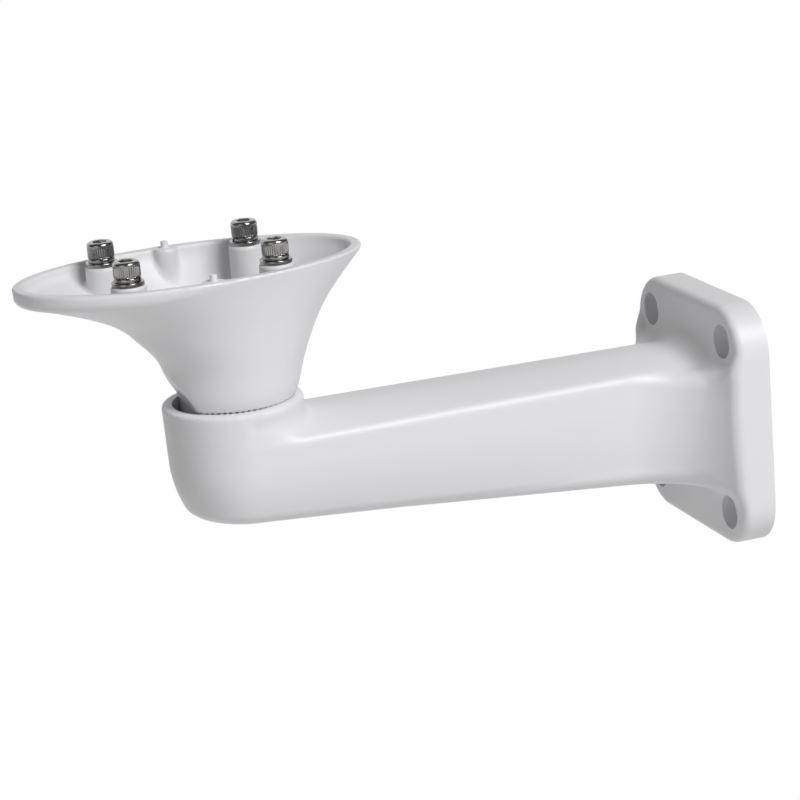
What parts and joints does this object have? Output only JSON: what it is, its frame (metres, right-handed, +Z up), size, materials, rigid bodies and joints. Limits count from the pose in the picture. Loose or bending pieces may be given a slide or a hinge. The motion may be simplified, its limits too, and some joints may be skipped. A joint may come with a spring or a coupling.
{
  "type": "camera wall bracket",
  "caption": "White cast wall bracket: a hollow arm on a wall plate, with a toothed swivel seat and a flared oval head that a security camera is screwed to.",
  "frame": {"origin": "centre of the wall plate's back face, in the wall's plane", "axes": "+X out of the wall along the arm, +Y to the side, +Z up along the swivel axis"},
  "size_m": [0.2798, 0.0922, 0.1477],
  "materials": {
    "white_paint": "smooth white powder coat, semi-gloss",
    "plated_steel": "bright steel with dark shadows in the knurl"
  },
  "bodies": {
    "arm": {"wall_arm": "white_paint", "clamp_flat_washer": "plated_steel", "clamp_spring_washer": "plated_steel", "clamp_bolt": "plated_steel"},
    "head": {"swivel_head": "white_paint", "camera_flat_washer_1": "plated_steel", "camera_spring_washer_1": "plated_steel", "camera_screw_1": "plated_steel", "camera_flat_washer_2": "plated_steel", "camera_spring_washer_2": "plated_steel", "camera_screw_2": "plated_steel", "camera_flat_washer_3": "plated_steel", "camera_spring_washer_3": "plated_steel", "camera_screw_3": "plated_steel", "camera_flat_washer_4": "plated_steel", "camera_spring_washer_4": "plated_steel", "camera_screw_4": "plated_steel"}
  },
  "joints": [
    {"name": "pan", "type": "hinge", "parent": "arm", "child": "head", "pos_m": [0.2017, 0, 0.0365], "axis": [0, 0, 1], "range_deg": [-180, 180]}
  ]
}
